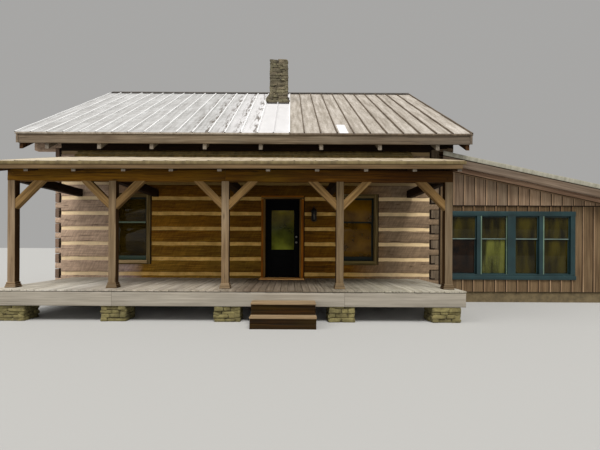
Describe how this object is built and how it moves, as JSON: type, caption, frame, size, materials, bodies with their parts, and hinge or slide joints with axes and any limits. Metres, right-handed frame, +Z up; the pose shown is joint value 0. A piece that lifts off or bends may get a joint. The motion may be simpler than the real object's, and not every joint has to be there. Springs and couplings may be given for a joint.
{
  "type": "log cabin",
  "caption": "Hewn log cabin with chinked walls, ribbed metal roof, stone chimney, covered front porch on a deck and a sided lean-to wing.",
  "frame": {"origin": "middle of the footprint box, on the ground", "axes": "+Z up, +X along the front to the right as seen from the front, -Y out of the front door"},
  "size_m": [15.92, 13.36, 7.81],
  "materials": {
    "field_stone": "rough",
    "floor_wood": "worn",
    "hewn_log": "weathered",
    "chinking": "trowelled mortar",
    "gable_boards": "weathered",
    "rafter_wood": "rough sawn",
    "roof_metal": "weathered ribbed sheet",
    "ridge_metal": "weathered",
    "fascia_wood": "weathered",
    "chimney_stone": "rubble",
    "door_trim": "stained",
    "threshold_wood": "stained",
    "black_paint": "satin",
    "door_glass": "clear",
    "dark_metal": "aged",
    "window_wood": "stained",
    "teal_paint": "satin",
    "window_glass": "clear",
    "lantern_black": "satin",
    "deck_wood": "weathered",
    "rim_wood": "weathered",
    "pier_stone": "stacked flat stones",
    "tread_wood": "weathered",
    "riser_wood": "mossy",
    "post_wood": "rough sawn",
    "beam_wood": "rough sawn",
    "porch_metal": "weathered ribbed sheet",
    "concrete": "cast",
    "siding_wood": "stained boards and battens",
    "wing_metal": "weathered ribbed sheet"
  },
  "bodies": {
    "cabin": {"cabin_foundation": "field_stone", "cabin_floor": "floor_wood", "front_sill_log": "hewn_log", "front_logs_left": "hewn_log", "front_logs_right": "hewn_log", "front_logs_over_door": "hewn_log", "back_logs": "hewn_log", "left_logs": "hewn_log", "right_logs": "hewn_log", "chinking": "chinking", "left_gable": "gable_boards", "right_gable": "gable_boards", "ridge_board": "rafter_wood", "main_rafters": "rafter_wood", "main_roof_front": "roof_metal", "main_roof_back": "roof_metal", "ridge_cap": "ridge_metal", "eave_fascias": "fascia_wood", "rake_boards": "fascia_wood", "chimney": "chimney_stone", "door_frame": "door_trim", "door_threshold": "threshold_wood", "cabin_window_frames": "window_wood", "cabin_sashes": "teal_paint", "cabin_window_glass": "window_glass", "inner_door_frame": "door_trim", "wall_lantern": "lantern_black", "deck_boards": "deck_wood", "deck_framing": "rim_wood", "deck_piers": "pier_stone", "step_treads": "tread_wood", "step_boxes": "riser_wood", "porch_posts": "post_wood", "post_bases": "post_wood", "porch_beam": "beam_wood", "porch_braces": "post_wood", "porch_ties": "beam_wood", "porch_rafters": "rafter_wood", "porch_roof": "porch_metal", "porch_apron": "porch_metal", "porch_fascia": "fascia_wood", "wing_foundation": "concrete", "wing_floor": "floor_wood", "wing_front_wall": "siding_wood", "wing_back_wall": "siding_wood", "wing_end_wall": "siding_wood", "wing_window_frames": "teal_paint", "wing_meeting_rails": "teal_paint", "wing_glass": "window_glass", "wing_rafters": "rafter_wood", "wing_roof": "wing_metal", "wing_roof_trim": "fascia_wood"},
    "front_door": {"door_leaf": "black_paint", "door_glass": "door_glass", "door_knobs": "dark_metal"}
  },
  "joints": [
    {"name": "front_door_hinge", "type": "hinge", "parent": "cabin", "child": "front_door", "pos_m": [-1.774, -3.074, 1.66], "axis": [0, 0, 1], "range_deg": [0, 90]}
  ]
}
